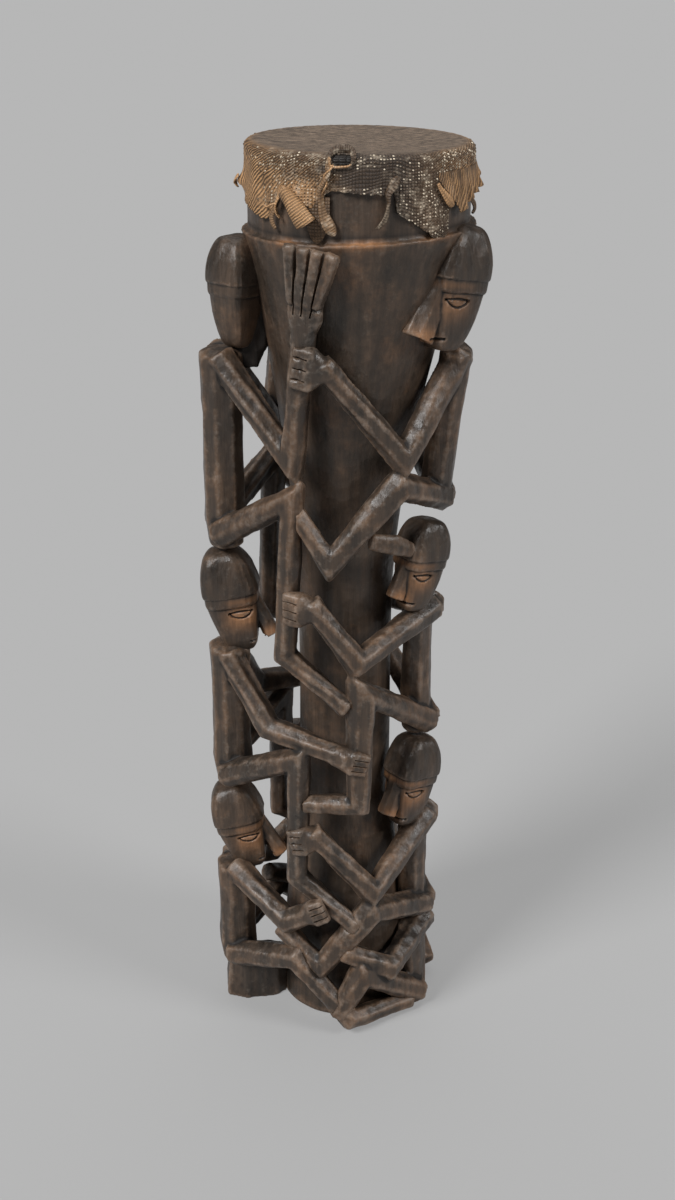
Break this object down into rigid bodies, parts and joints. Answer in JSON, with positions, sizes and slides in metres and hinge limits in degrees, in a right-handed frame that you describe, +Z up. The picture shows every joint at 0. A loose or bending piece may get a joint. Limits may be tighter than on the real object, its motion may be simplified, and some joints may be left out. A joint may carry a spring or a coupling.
{
  "type": "kundu drum",
  "caption": "Standing hourglass drum with a lizard-skin head, its wooden shell carved inside an openwork cage of crouching figures with interlaced arms and legs",
  "frame": {"origin": "on the floor under the middle of the whole drum's box", "axes": "+Z up along the drum, -Y towards the side that the picture shows, +X to the viewer's right"},
  "size_m": [0.3208, 0.2726, 1.0998],
  "materials": {
    "carved_wood": "adzed, dark smoked patina, worn to red-brown on edges and faces",
    "lizard_skin": "dry scaled skin, pale bead scales, tan torn edges"
  },
  "bodies": {
    "root": {"head_skin": "lizard_skin", "drum_shell": "carved_wood", "skin_roll": "lizard_skin", "skin_strip_1": "lizard_skin", "skin_strip_2": "lizard_skin", "skin_flap": "lizard_skin", "left_foot_block": "carved_wood", "right_foot_block": "carved_wood", "left_top_torso": "carved_wood", "left_middle_torso": "carved_wood", "left_bottom_torso": "carved_wood", "right_top_torso": "carved_wood", "right_middle_torso": "carved_wood", "right_bottom_torso": "carved_wood", "left_top_head": "carved_wood", "left_middle_head": "carved_wood", "left_bottom_head": "carved_wood", "right_top_head": "carved_wood", "right_middle_head": "carved_wood", "right_bottom_head": "carved_wood", "left_top_front_leg": "carved_wood", "left_top_back_leg": "carved_wood", "left_middle_front_leg": "carved_wood", "left_middle_back_leg": "carved_wood", "left_bottom_front_leg": "carved_wood", "left_bottom_back_leg": "carved_wood", "right_top_front_leg": "carved_wood", "right_top_back_leg": "carved_wood", "right_middle_front_leg": "carved_wood", "right_middle_back_leg": "carved_wood", "right_bottom_front_leg": "carved_wood", "right_bottom_back_leg": "carved_wood", "base_arm_front": "carved_wood", "base_arm_back": "carved_wood", "base_leg_front": "carved_wood", "base_leg_back": "carved_wood", "left_top_front_arm": "carved_wood", "left_top_back_arm": "carved_wood", "left_middle_front_arm": "carved_wood", "left_middle_back_arm": "carved_wood", "left_bottom_front_arm": "carved_wood", "left_bottom_back_arm": "carved_wood", "right_top_front_arm": "carved_wood", "right_top_back_arm": "carved_wood", "right_middle_front_arm": "carved_wood", "right_middle_back_arm": "carved_wood", "right_bottom_front_arm": "carved_wood", "right_bottom_back_arm": "carved_wood", "leaf_tab": "carved_wood"}
  },
  "joints": []
}
